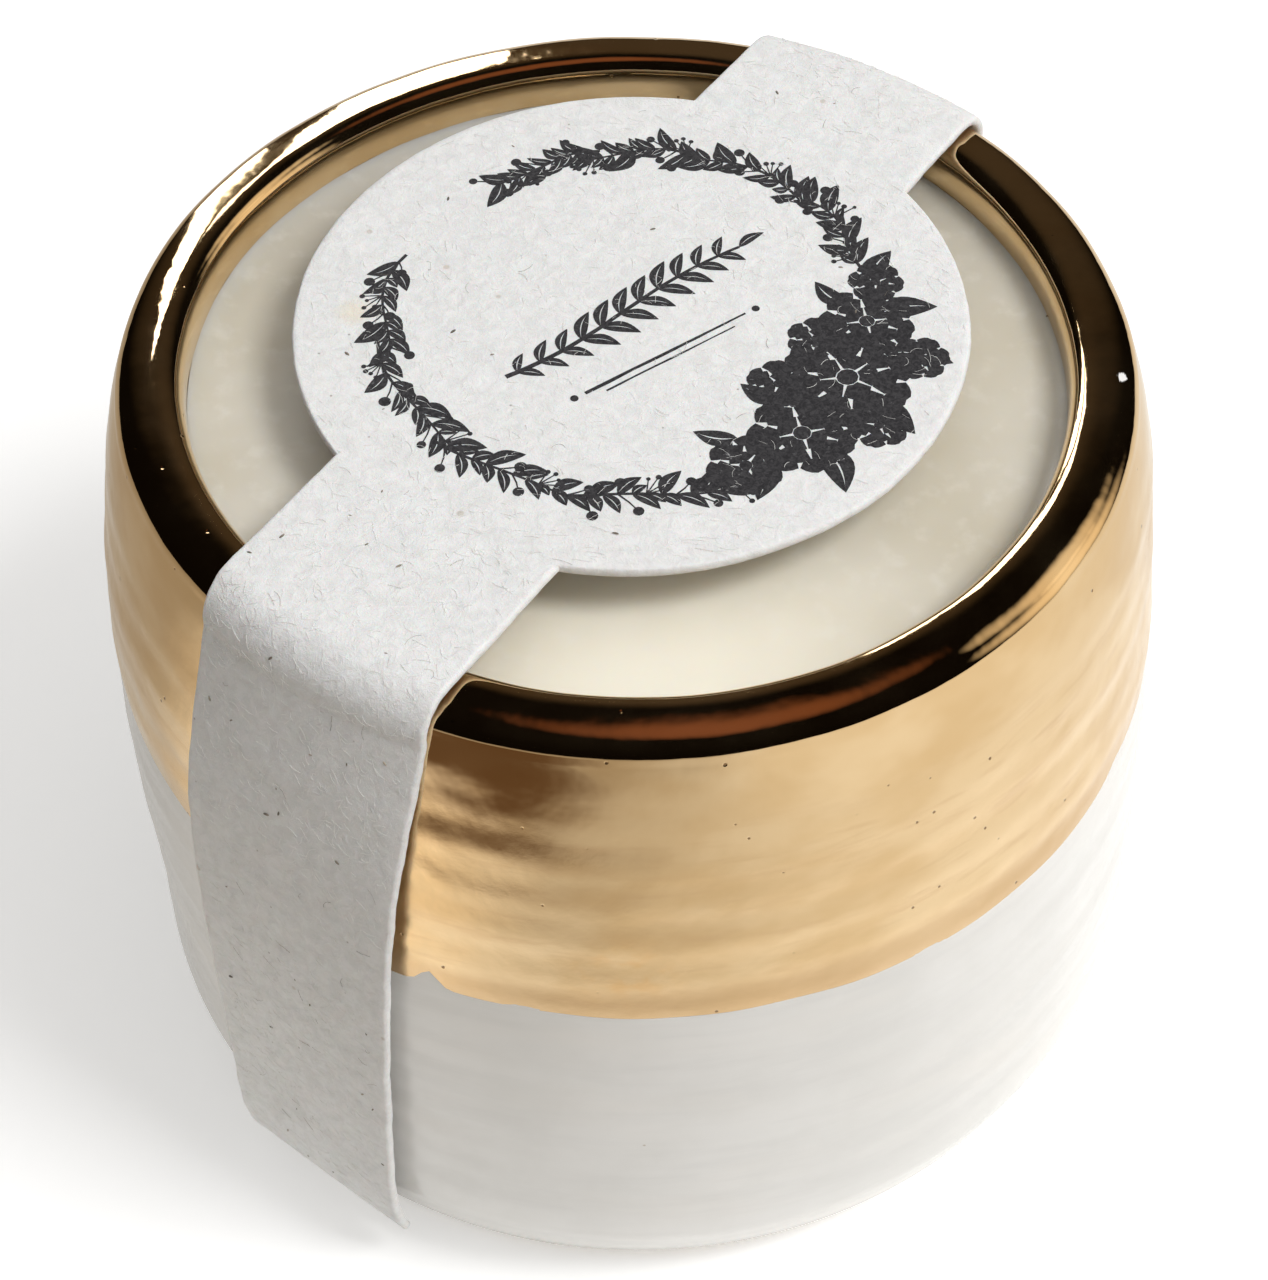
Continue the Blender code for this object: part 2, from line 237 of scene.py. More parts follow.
def skin(name, points, material, wrap_rows=False, wrap_columns=True, sharp=40):
    """A closed surface through a grid of points. A row or column that meets itself is welded."""
    rows, columns = points.shape[:2]
    index = np.arange(rows * columns).reshape(rows, columns)
    if wrap_rows:
        index = np.concatenate([index, index[:1]])
    if wrap_columns:
        index = np.concatenate([index, index[:, :1]], 1)
    quads = np.stack([index[:-1, :-1], index[1:, :-1], index[1:, 1:], index[:-1, 1:]], -1)
    mesh = bpy.data.meshes.new(name)
    mesh.from_pydata(points.reshape(-1, 3).tolist(), [], quads.reshape(-1, 4).tolist())
    return new_piece(name, mesh, material, sharp)


def normals_of(points, wrap_rows=False):
    """Unit normals of a grid of points, from its rows and columns."""
    if wrap_rows:
        down = (np.roll(points, -1, 0) - np.roll(points, 1, 0)) / 2
    else:
        down = np.gradient(points, axis=0)
    along = np.gradient(points, axis=1)
    normal = np.cross(down, along)
    return normal / np.linalg.norm(normal, axis=-1, keepdims=True)


def shell(name, points, normals, below, above, material):
    """A closed coat round a full turn of points, from below to above along the normals."""
    outside = points + normals * above
    inside = points + normals * below
    return skin(name, np.concatenate([outside, inside[:, ::-1]], 1), material, wrap_rows=True)


# Materials

RAMP_SOCKETS = ("From Min", "From Max", "To Min", "To Max")


class Look:
    """A node material being built: short calls for the nodes that every surface here uses."""

    def __init__(self, name, roughness, metallic=0.0, **inputs):
        self.material = bpy.data.materials.new(name)
        self.material.use_nodes = True
        self.tree = self.material.node_tree
        self.shader = self.tree.nodes["Principled BSDF"]
        self.set("Roughness", roughness)
        self.set("Metallic", metallic)
        for socket, value in inputs.items():
            self.set(socket.replace("_", " "), value)
        self.place = self.tree.nodes.new("ShaderNodeTexCoord").outputs["Object"]

    def set(self, socket, value):
        self.shader.inputs[socket].default_value = value

    def link(self, output, target):
        self.tree.links.new(output, target)

    def feed(self, socket, output):
        self.link(output, self.shader.inputs[socket])

    def stretched(self, scale):
        """The surface's coordinates, scaled by a different number along each axis."""
        mapping = self.tree.nodes.new("ShaderNodeMapping")
        mapping.inputs["Scale"].default_value = scale
        self.link(self.place, mapping.inputs["Vector"])
        return mapping.outputs["Vector"]

    def noise(self, size, detail=3.0, rough=0.55, warp=0.0, where=None):
        """Noise whose features are about size millimetres across."""
        node = self.tree.nodes.new("ShaderNodeTexNoise")
        node.inputs["Scale"].default_value = 1 / (size * MM)
        node.inputs["Detail"].default_value = detail
        node.inputs["Roughness"].default_value = rough
        node.inputs["Distortion"].default_value = warp
        self.link(where or self.place, node.inputs["Vector"])
        return node.outputs["Fac"]

    def cells(self, size, where=None):
        """Distance to the nearest of many random points about size millimetres apart."""
        node = self.tree.nodes.new("ShaderNodeTexVoronoi")
        node.inputs["Scale"].default_value = 1 / (size * MM)
        self.link(where or self.place, node.inputs["Vector"])
        return node.outputs["Distance"]

    def spread(self, output, low, high, to_low=0.0, to_high=1.0):
        """Maps low..high to to_low..to_high, smoothly and clamped."""
        node = self.tree.nodes.new("ShaderNodeMapRange")
        node.interpolation_type = "SMOOTHSTEP"
        for socket, value in zip(RAMP_SOCKETS, (low, high, to_low, to_high)):
            node.inputs[socket].default_value = value
        self.link(output, node.inputs["Value"])
        return node.outputs["Result"]

    def patches(self, size, detail, low, high, to_low=0.0, to_high=1.0):
        """Soft-edged patches of noise."""
        return self.spread(self.noise(size, detail), low, high, to_low, to_high)

    def maths(self, operation, first, second):
        node = self.tree.nodes.new("ShaderNodeMath")
        node.operation = operation
        for socket, value in zip(node.inputs, (first, second)):
            if isinstance(value, (int, float)):
                socket.default_value = value
            else:
                self.link(value, socket)
        return node.outputs[0]

    def axis(self, name):
        node = self.tree.nodes.new("ShaderNodeSeparateXYZ")
        self.link(self.place, node.inputs[0])
        return node.outputs[name]

    def blob(self, centre, radius, feather=0.6):
        """1 round a point of the object, fading out at radius metres."""
        node = self.tree.nodes.new("ShaderNodeVectorMath")
        node.operation = "DISTANCE"
        node.inputs[1].default_value = centre
        self.link(self.place, node.inputs[0])
        return self.spread(node.outputs["Value"], radius * (1 - feather), radius, 1.0, 0.0)

    def mix(self, factor, first, second):
        """first where factor is 0, second where it is 1."""
        node = self.tree.nodes.new("ShaderNodeMix")
        node.data_type = "RGBA"
        self.link(factor, node.inputs["Factor"])
        for name, value in (("A_Color", first), ("B_Color", second)):
            socket = next(s for s in node.inputs if s.identifier == name)
            if isinstance(value, tuple):
                socket.default_value = (*value, 1.0)
            else:
                self.link(value, socket)
        return next(s for s in node.outputs if s.identifier == "Result_Color")

    def relief(self, *layers):
        """Bump from (height output, depth in millimetres) layers, the coarsest first."""
        normal = None
        for height, depth in layers:
            node = self.tree.nodes.new("ShaderNodeBump")
            node.inputs["Strength"].default_value = 1.0
            node.inputs["Distance"].default_value = depth * MM
            self.link(height, node.inputs["Height"])
            if normal:
                self.link(normal, node.inputs["Normal"])
            normal = node.outputs["Normal"]
        self.feed("Normal", normal)


def glaze_look():
    look = Look("white_glaze", 0.2, Coat_Weight=0.25, Coat_Roughness=0.08, IOR=1.5)
    cloud = look.noise(14, 4)
    pools = look.noise(20, 2, where=look.stretched((1, 1, 2.2)))
    tint = look.mix(look.spread(cloud, 0.35, 0.65), (0.80, 0.79, 0.765), (0.86, 0.85, 0.83))
    tint = look.mix(look.spread(pools, 0.45, 0.75, 0, 0.6), tint, (0.86, 0.83, 0.79))
    brushed = look.noise(9, 4, 0.6, where=look.stretched((0.3, 0.3, 2.0)))
    tint = look.mix(look.spread(brushed, 0.45, 0.7, 0, 0.5), tint, (0.74, 0.73, 0.71))
    iron = look.spread(look.cells(7.5), 0.014, 0.03, 1, 0)
    tint = look.mix(iron, tint, (0.50, 0.42, 0.33))
    foot = look.spread(look.axis("Z"), 0.5 * MM, 1.1 * MM, 1, 0)
    tint = look.mix(foot, tint, (0.70, 0.63, 0.54))
    look.feed("Base Color", tint)
    satin = look.patches(6, 4, 0.3, 0.7, 0.16, 0.26)
    look.feed("Roughness", look.maths("MAXIMUM", satin, look.maths("MULTIPLY", foot, 0.85)))
    look.relief((look.noise(11, 1), 0.09), (look.noise(5, 0), 0.012))
    return look.material


def lustre_look():
    """Gold lustre: a mirror on the lip, softer and streaky on the wall below it."""
    look = Look("gold_lustre", 0.2, 1.0)
    height = look.axis("Z")
    on_wall = look.spread(height, 58 * MM, 65 * MM, 1, 0)
    broad = look.noise(13, 3, where=look.stretched((1, 1, 1.8)))
    tint = look.mix(look.spread(broad, 0.35, 0.65), (0.76, 0.54, 0.29), (0.86, 0.65, 0.39))
    streaks = look.noise(3.0, 3, 0.6, where=look.stretched((0.35, 0.35, 2.4)))
    streaked = look.maths("MULTIPLY", look.spread(streaks, 0.5, 0.75, 0, 0.6), on_wall)
    tint = look.mix(streaked, tint, (0.72, 0.50, 0.28))
    # Painted reflection: a mottled brown patch low on the front of the gold wall stands in for
    # something dark mirrored in the lustre.
    stain_and_painted_reflection = look.blob((-1.5 * MM, -42.5 * MM, 47 * MM), 5.5 * MM, 0.8)
    painted_reflection_mottle = look.patches(1.6, 3, 0.4, 0.7, 0, 0.75)
    tint = look.mix(look.maths("MULTIPLY", stain_and_painted_reflection, painted_reflection_mottle), tint, (0.80, 0.52, 0.25))
    thin = look.spread(height, LUSTRE_EDGE + 0.6 * MM, LUSTRE_EDGE + 2.2 * MM, 0.55, 0)
    tint = look.mix(thin, tint, (0.66, 0.45, 0.25))
    pits = look.spread(look.cells(2.8), 0.035, 0.06, 1, 0)
    tint = look.mix(pits, tint, (0.30, 0.19, 0.10))
    look.feed("Base Color", tint)
    satin = look.spread(look.noise(4, 5, 0.65), 0.3, 0.7, 0.17, 0.265)
    polish = look.patches(7, 3, 0.3, 0.7, 0.035, 0.09)
    kept = look.maths("MULTIPLY", satin, on_wall)
    rest = look.maths("MULTIPLY", polish, look.maths("SUBTRACT", 1.0, on_wall))
    look.feed("Roughness", look.maths("ADD", kept, rest))
    waves = look.maths("MULTIPLY", look.noise(6, 2), on_wall)
    wall_grain = look.maths("MULTIPLY", look.noise(0.7, 3, 0.6), on_wall)
    orange_peel = look.noise(2.6, 2)
    pinholes = look.spread(look.cells(2.8), 0.03, 0.07)
    look.relief((waves, 0.12), (orange_peel, 0.028), (wall_grain, 0.012), (pinholes, 0.03))
    return look.material


def wax_look():
    look = Look("ivory_wax", 0.42, Subsurface_Weight=0.35, Subsurface_Scale=0.004, IOR=1.44,
                Coat_Weight=0.06, Coat_Roughness=0.3)
    look.set("Subsurface Radius", (1.0, 0.75, 0.45))
    cloud = look.noise(16, 3)
    tint = look.mix(look.spread(cloud, 0.35, 0.65), (0.62, 0.57, 0.46), (0.68, 0.64, 0.55))
    # Painted light: the wax in front is tinted much brighter, a painted pool of light that also lifts
    # the label's shadow there.
    painted_light_front = look.blob((3 * MM, -36 * MM, WAX_HEIGHT), 29 * MM, 0.95)
    tint = look.mix(painted_light_front, tint, (0.95, 0.90, 0.77))
    # Painted shade: the wax is tinted darker towards the back.
    painted_shade_back = look.spread(look.axis("Y"), 0, 32 * MM, 0, 0.45)
    tint = look.mix(painted_shade_back, tint, (0.42, 0.40, 0.37))
    frost = look.noise(2.2, 4)
    tint = look.mix(look.spread(frost, 0.5, 0.75, 0, 0.25), tint, (0.86, 0.83, 0.76))
    soot = look.spread(look.cells(6), 0.012, 0.03, 1, 0)
    tint = look.mix(soot, tint, (0.16, 0.10, 0.06))
    look.feed("Base Color", tint)
    look.feed("Roughness", look.patches(5, 4, 0.3, 0.7, 0.34, 0.55))
    look.relief((look.noise(8, 3), 0.10), (look.noise(1.5, 3), 0.012))
    return look.material


def paper_look():
    """Thick felt-like seed paper: matted fibres, faint tea stains and dark flecks."""
    look = Look("seed_paper", 0.94, Sheen_Weight=0.25, Sheen_Roughness=0.6, Specular_IOR_Level=0.2,
                Subsurface_Weight=0.12, Subsurface_Scale=0.0008)
    felt = look.noise(1.1, 6, 0.65, 0.6)
    strands = look.noise(0.5, 4, 0.6, 2.5)
    tint = look.mix(look.spread(felt, 0.3, 0.7), (0.76, 0.76, 0.755), (0.86, 0.86, 0.858))
    tint = look.mix(look.spread(strands, 0.52, 0.72, 0, 0.45), tint, (0.90, 0.90, 0.90))
    grey = look.patches(5, 3, 0.55, 0.75, 0, 0.3)
    tint = look.mix(grey, tint, (0.76, 0.755, 0.74))
    flecks = look.spread(look.cells(2.7), 0.022, 0.05, 0.75, 0)
    tint = look.mix(flecks, tint, (0.34, 0.31, 0.28))
    bran = look.spread(look.cells(6.5), 0.03, 0.055, 0.5, 0)
    tint = look.mix(bran, tint, (0.50, 0.43, 0.34))
    stain_and_painted_reflection = look.blob(tuple(LABEL_CENTRE + np.array((-21.5 * MM, 1.5 * MM, PAPER_TOP))), 2.2 * MM, 0.9)
    tint = look.mix(look.maths("MULTIPLY", stain_and_painted_reflection, 0.55), tint, (0.83, 0.74, 0.57))
    look.feed("Base Color", tint)
    look.relief((look.noise(2.6, 3), 0.10), (felt, 0.13), (strands, 0.055))
    return look.material


def fibre_look(name, pale, dark, roughness=0.8):
    look = Look(name, roughness, Sheen_Weight=0.2)
    look.feed("Base Color", look.mix(look.patches(2, 2, 0.35, 0.65), pale, dark))
    look.relief((look.noise(0.2, 2), 0.01))
    return look.material


def ink_look():
    """Charcoal ink that lets the paper's nap through here and there."""
    look = Look("charcoal_ink", 0.72, Specular_IOR_Level=0.3)
    nap = look.noise(0.35, 4, 0.65, 1.0)
    tint = look.mix(look.spread(nap, 0.35, 0.7), (0.022, 0.021, 0.024), (0.060, 0.058, 0.062))
    worn = look.spread(look.noise(0.8, 4, 0.7), 0.64, 0.74, 0, 0.5)
    look.feed("Base Color", look.mix(worn, tint, (0.30, 0.30, 0.31)))
    look.relief((nap, 0.03))
    return look.material


def cotton_look():
    look = Look("wick_cotton", 0.9, Sheen_Weight=0.4, Subsurface_Weight=0.1, Subsurface_Scale=0.0005)
    fray = look.noise(0.25, 4, 0.7, where=look.stretched((1, 1, 0.3)))
    tint = look.mix(look.spread(fray, 0.3, 0.7), (0.66, 0.61, 0.50), (0.88, 0.85, 0.78))
    waxed = look.spread(look.axis("Z"), WAX_HEIGHT, WAX_HEIGHT + 2.4 * MM, 0.6, 0.1)
    look.feed("Base Color", look.mix(waxed, tint, (0.86, 0.80, 0.66)))
    look.relief((fray, 0.05))
    return look.material


def tin_look():
    look = Look("tinned_steel", 0.35, 1.0)
    tint = look.mix(look.patches(3, 4, 0.35, 0.65), (0.62, 0.62, 0.63), (0.78, 0.78, 0.77))
    look.feed("Base Color", tint)
    look.feed("Roughness", look.patches(1, 4, 0.3, 0.7, 0.25, 0.5))
    look.relief((look.noise(0.8, 3, where=look.stretched((0.3, 3, 1))), 0.01))
    return look.material


def pad_look():
    look = Look("pad_paper", 0.85)
    tint = look.mix(look.patches(0.8, 5, 0.3, 0.7), (0.78, 0.77, 0.73), (0.91, 0.90, 0.88))
    look.feed("Base Color", tint)
    look.relief((look.noise(0.4, 4), 0.03))
    return look.material


# Vessel pieces

def stand_for(piece, node):
    """Hides the CAD node that this piece shows, and gives the piece its body."""
    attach(piece, "vessel")
    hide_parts(node)


def make_vessel():
    """The glazed pot, with its cavity, rolled lip and turned foot ring."""
    ring_width, recess, corner, cavity_corner = 3.2 * MM, 0.7 * MM, 0.7 * MM, 4.0 * MM
    floor = FLOOR_HEIGHT - 0.3 * MM
    turn = np.linspace(-math.pi / 2, 0, 10)
    corner_height = floor + cavity_corner
    corner_radius = inner_radius(corner_height) - cavity_corner
    inside = np.linspace(corner_height, LIP_HEIGHT, 46)[1:]
    outside = np.linspace(LIP_JOIN_HEIGHT, corner, 170)
    lip = lip_arc(math.pi, LIP_TURN, 44)
    foot_turn = np.linspace(0, math.pi / 2, 8)
    foot = outer_radius(corner) - corner
    radii = [(0,), corner_radius + cavity_corner * np.cos(turn), inner_radius(inside), lip[0][1:],
             outer_radius(outside)[1:], foot + corner * np.cos(foot_turn)[1:], (foot - ring_width,),
             (foot - ring_width - 0.6 * MM,), (0,)]
    heights = [(floor,), corner_height + cavity_corner * np.sin(turn), inside, lip[1][1:],
               outside[1:], corner - corner * np.sin(foot_turn)[1:], (0,), (recess,), (recess,)]
    radii, heights = np.concatenate(radii), np.concatenate(heights)
    loose = (radii > 20 * MM) * smooth(heights, 0, 5 * MM)
    points = turned_points(full_turn(300), radii, heights, loose)
    vessel = skin("vessel_glaze", points, glaze_look(), wrap_rows=True, wrap_columns=False, sharp=60)
    stand_for(vessel, "vessel_body")


def lustre_edge(azimuth):
    """Height of the lustre's dipped edge, which runs slightly aslant and wavers."""
    x, y = np.cos(azimuth) * 43 * MM, np.sin(azimuth) * 43 * MM
    waver = 0.25 * np.sin(2 * azimuth + 0.4) + 0.16 * np.sin(5 * azimuth + 2)
    waver += 0.07 * np.sin(13 * azimuth) + 0.04 * np.sin(29 * azimuth + 1)
    notch = 1.6 * near(azimuth, 247.6, 1.3)
    return 44.8 * MM - 0.02 * x + 0.066 * y + (waver + notch) * MM


def make_lustre():
    """The gold coat, over the shoulder and the lip and down to the wax."""
    azimuths = full_turn(420)
    edge = lustre_edge(azimuths)[:, None]
    wall = edge + (LIP_JOIN_HEIGHT - edge) * np.linspace(0, 1, 76)[None, :-1]
    lip = lip_arc(LIP_TURN, math.pi, 56)
    inside = np.linspace(LIP_HEIGHT, WAX_HEIGHT - 0.3 * MM, 12)[1:]
    over = np.concatenate([lip[1], inside])
    over_radii = np.concatenate([lip[0], inner_radius(inside)])
    heights = np.concatenate([wall, np.tile(over, (len(azimuths), 1))], 1)
    radii = np.concatenate([outer_radius(wall), np.tile(over_radii, (len(azimuths), 1))], 1)
    points = turned_points(azimuths, radii, heights)
    normals = normals_of(points, wrap_rows=True)
    outward = points * (1, 1, 0)
    if (normals[:, :40] * outward[:, :40]).sum() < 0:
        normals = -normals
    thickness = 0.05 * MM * smooth(np.arange(points.shape[1]), -1.0, 4.0)[None, :, None]
    uneven = 0.026 * MM * lumps(points, 7 * MM, 21) + 0.004 * MM * lumps(points, 2 * MM, 22)
    points = points + normals * uneven[..., None]
    coat = shell("gold_coat", points, normals, 0.006 * MM, 0.01 * MM + thickness, lustre_look())
    stand_for(coat, "gold_lustre")


def make_wax():
    """The poured wax: it creeps up the lip and the wick, and its top sank a little as it set."""
    gap = 0.3 * MM
    floor, corner = FLOOR_HEIGHT, 3.7 * MM
    corner_height = floor + corner
    pocket_top, neck_top = WICK_BASE + 0.7 * MM, SUSTAINER_TOP + gap
    bore, neck_bore, pocket = WICK_RADIUS + 0.1 * MM, 2.3 * MM, SUSTAINER_RADIUS + gap
    rim = float(inner_radius(WAX_HEIGHT)) - 0.08 * MM
    across = rim - (rim - bore) * np.linspace(0, 1, 90) ** 1.15
    meniscus = 0.45 * MM * np.exp(-(rim - across) / (0.55 * MM))
    meniscus += 0.30 * MM * np.exp(-(across - bore) / (0.5 * MM))
    dish = -0.25 * MM * (1 - (across / rim) ** 4)
    wall = np.linspace(WAX_HEIGHT, corner_height, 30)[1:]
    turn = np.linspace(0, math.pi / 2, 8)[1:]
    corner_radius = float(inner_radius(corner_height)) - gap - corner
    under_radii = [pocket, pocket, neck_bore, neck_bore, bore]
    under_heights = [floor, pocket_top, pocket_top, neck_top, neck_top]
    radii = np.concatenate([across[::-1], inner_radius(wall) - gap,
                            corner_radius + corner * np.cos(turn), under_radii])
    heights = np.concatenate([(WAX_HEIGHT + meniscus + dish)[::-1], wall,
                              corner_height - corner * np.sin(turn), under_heights])
    azimuths = full_turn(260)
    loose = smooth(radii, 15 * MM, 30 * MM) * smooth(heights, 20 * MM, 40 * MM)
    points = turned_points(azimuths, radii, heights, loose)
    top = slice(0, len(across))
    level = points[:, top] * (1, 1, 0)
    points[:, top, 2] += 0.07 * MM * lumps(level, 17 * MM, 5) + 0.02 * MM * lumps(level, 5 * MM, 6)
    wax = skin("poured_wax", points, wax_look(), wrap_rows=True, sharp=50)
    stand_for(wax, "wax_fill")


def tube_points(path, radius, sides=6):
    """Loops of points round a path, tapering to a point at both ends. radius may vary along it."""
    path = np.asarray(path, float)
    radius = np.broadcast_to(radius, len(path))
    run = np.gradient(path, axis=0)
    run /= np.linalg.norm(run, axis=1, keepdims=True)
    helper = np.where(np.abs(run[:, 2:3]) > 0.9, (1.0, 0, 0), (0, 0, 1.0))
    side = np.cross(run, helper)
    side /= np.linalg.norm(side, axis=1, keepdims=True)
    other = np.cross(run, side)
    angles = full_turn(sides)[None, :, None]
    spokes = side[:, None] * np.cos(angles) + other[:, None] * np.sin(angles)
    loops = path[:, None] + radius[:, None, None] * spokes
    first = np.repeat(path[:1, None], sides, 1)
    last = np.repeat(path[-1:, None], sides, 1)
    return np.concatenate([first, loops, last])


def bundle(name, tubes, material):
    """One object of many separate closed tubes."""
    vertices, faces = [], []
    for loops in tubes:
        rows, sides = loops.shape[:2]
        start = len(vertices)
        vertices.extend(loops.reshape(-1, 3).tolist())
        for i in range(rows - 1):
            for j in range(sides):
                a, b = start + i * sides + j, start + i * sides + (j + 1) % sides
                faces.append((a, b, b + sides, a + sides))
    mesh = bpy.data.meshes.new(name)
    mesh.from_pydata(vertices, [], faces)
    return new_piece(name, mesh, material)


def make_wick():
    """A braid of three cotton strands, waxed below and a little frayed at the cut."""
    strand, pitch = 0.56 * MM, 3.4 * MM
    heights = np.linspace(WICK_BASE, WICK_TOP, 220)
    width = strand * (1 - 0.25 * smooth(heights, WICK_TOP - 0.5 * MM, WICK_TOP))
    tubes = []
    for k in range(3):
        turn = 2 * math.pi * (heights - WICK_BASE) / pitch + k * 2 * math.pi / 3
        reach = (WICK_RADIUS - strand) * (1 + 0.05 * np.sin(heights / MM * 2.1 + k))
        path = np.stack([reach * np.cos(turn), reach * np.sin(turn), heights], 1)
        tubes.append(tube_points(path, width, 12))
    dice = random.Random(4)
    for _ in range(26):
        angle, high = dice.uniform(0, 2 * math.pi), WICK_TOP - dice.uniform(0.0, 1.4) * MM
        root = np.array((0.8 * MM * math.cos(angle), 0.8 * MM * math.sin(angle), high - 0.5 * MM))
        tip = root * (1.25, 1.25, 1) + UP * dice.uniform(0.1, 0.5) * MM
        tubes.append(tube_points(np.linspace(root, tip, 4), 0.03 * MM, 4))
    wick = bundle("braided_wick", tubes, cotton_look())
    stand_for(wick, "wick")


def make_glue_blob(name, node, seed):
    """A squeezed bead of glue, domed and uneven at its edge, in the CAD node's own material."""
    low, high = (np.array(corner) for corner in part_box(node))
    centre, radius = (low + high) / 2, 3.0 * MM
    outward = centre * (1, 1, 0) / np.linalg.norm(centre[:2])
    across = np.cross(UP, outward)
    angles = full_turn(72)
    waver = 0.05 * np.sin(2 * angles + seed) + 0.04 * np.sin(5 * angles) + 0.03 * np.sin(9 * angles + 1)
    edge = radius * (0.86 + waver)
    reach = np.linspace(0, 1, 14)
    lift = 0.36 * MM * np.sqrt(1 - reach**2) * (1 + 0.10 * np.cos(7 * reach))
    flat = angles[:, None] * 0 + np.concatenate([reach, reach[-2::-1]])[None]
    depth = np.concatenate([lift, -0.25 * MM + 0 * reach[-2::-1]])
    spot = edge[:, None] * flat
    wall = np.linalg.norm(centre[:2]) - 0.15 * MM
    side, rise = spot * np.cos(angles)[:, None], spot * np.sin(angles)[:, None]
    sink = side**2 / (2 * wall)
    points = (centre * (0, 0, 1) + outward * (wall + depth[None, :, None] - sink[..., None])
              + across * side[..., None] + UP * rise[..., None])
    material = bpy.data.materials["clear_glue"]
    blob = skin(name, points, material, wrap_rows=True, wrap_columns=False)
    stand_for(blob, node)


# Paper

def paper_path(side, flat_from, leg_count=170):
    """Stations along the band's middle line towards one side, from the flat strip to the leg's end.

    Returns the reach from the axis, the height, how far down the leg (0 to 1), and how far the
    paper curls round the wall (0 flat to 1).
    """
    azimuth = STRIP_AZIMUTH + (0 if side > 0 else math.pi)
    rim = RIM_RADIUS + float(hand_made(azimuth, VESSEL_HEIGHT))
    flat = np.linspace(flat_from, rim, max(2, int((rim - flat_from) / (0.4 * MM))))
    turn = np.linspace(0, math.pi / 2, 26)[1:]
    end_height = LEG_END_HEIGHT + LEG_LIFT
    heights = np.linspace(LIP_HEIGHT, end_height, leg_count)[1:]
    fallen = (LIP_HEIGHT - heights) / (LIP_HEIGHT - end_height)
    gap = PAPER_LIFT + (LEG_GAP - PAPER_LIFT) * smooth(fallen, 0, 0.5)
    curl_down = CURL * (1 - 0.75 * smooth(fallen, 0.02, 0.35) - 0.25 * smooth(fallen, 0.5, 0.9))
    tucked = BELLY_RADIUS - (BELLY_RADIUS - outer_radius(heights)) * LEG_HANG
    wall = np.where(heights < BELLY_HEIGHT, tucked, outer_radius(heights))
    leg = wall + hand_made(azimuth, heights) + gap + PAPER_THICKNESS / 2
    lip_shift = rim + BEND_RADIUS - leg[0]
    leg = leg + lip_shift * (1 - smooth(fallen, 0, 0.12))
    reach = np.concatenate([flat, rim + BEND_RADIUS * np.sin(turn), leg])
    height = np.concatenate([flat * 0 + PAPER_HEIGHT, LIP_HEIGHT + BEND_RADIUS * np.cos(turn), heights])
    down = np.concatenate([flat * 0, turn * 0, fallen])
    curl = np.concatenate([CURL * smooth(flat, rim - 9 * MM, rim), CURL + 0 * turn, curl_down])
    return reach, height, down, curl


def paper_middle(side, path, sideways, slant, twist):
    """Points of the paper's middle surface for each station and each distance sideways (a grid)."""
    reach, height, down, curl = (column[:, None, None] for column in path)
    turn = side * twist * down
    outward = STRIP_ALONG * side * np.cos(turn) + STRIP_ACROSS * side * np.sin(turn)
    across = STRIP_ACROSS * np.cos(turn) - STRIP_ALONG * np.sin(turn)
    off = sideways[..., None]
    drop = curl * (off + SIDE_SHIFT) ** 2 / (2 * 40 * MM)
    return outward * (reach - drop) + across * (SIDE_SHIFT + slant * down**3 + off) + UP * height


def half_widths(position, seed):
    """(left, right) half-widths of the sheet at each signed position along the strip."""
    label = np.sqrt(np.clip(LABEL_RADIUS**2 - (position - LABEL_SHIFT) ** 2, 0, None))
    widths = []
    for k in range(2):
        walk = np.stack([position, position * 0 + seed + k, position * 0], -1)
        uneven = 0.05 * MM * lumps(walk, 14 * MM, seed + k)
        uneven += 0.014 * MM * lumps(walk, 1.3 * MM, seed + k + 7)
        widths.append(np.maximum(STRIP_HALF_WIDTH, label) + uneven)
    return widths


def across_grid(left, right, count):
    """Signed distances across a sheet: count columns, from the left half-width to the right one."""
    columns = np.linspace(-1, 1, count)[None]
    return np.where(columns < 0, columns * left[:, None], columns * right[:, None])


def felt_relief(middle):
    """How far the matted face stands off a smooth sheet at these points of its middle surface."""
    return 0.010 * MM * lumps(middle, 2.4 * MM, 41) + 0.020 * MM * lumps(middle, 7 * MM, 42)


def upward_normals(middle):
    """Unit normals of a sheet's middle surface, on the side that faces up where the strip is flat."""
    normals = normals_of(middle)
    return -normals if normals[0, :, 2].sum() < 0 else normals


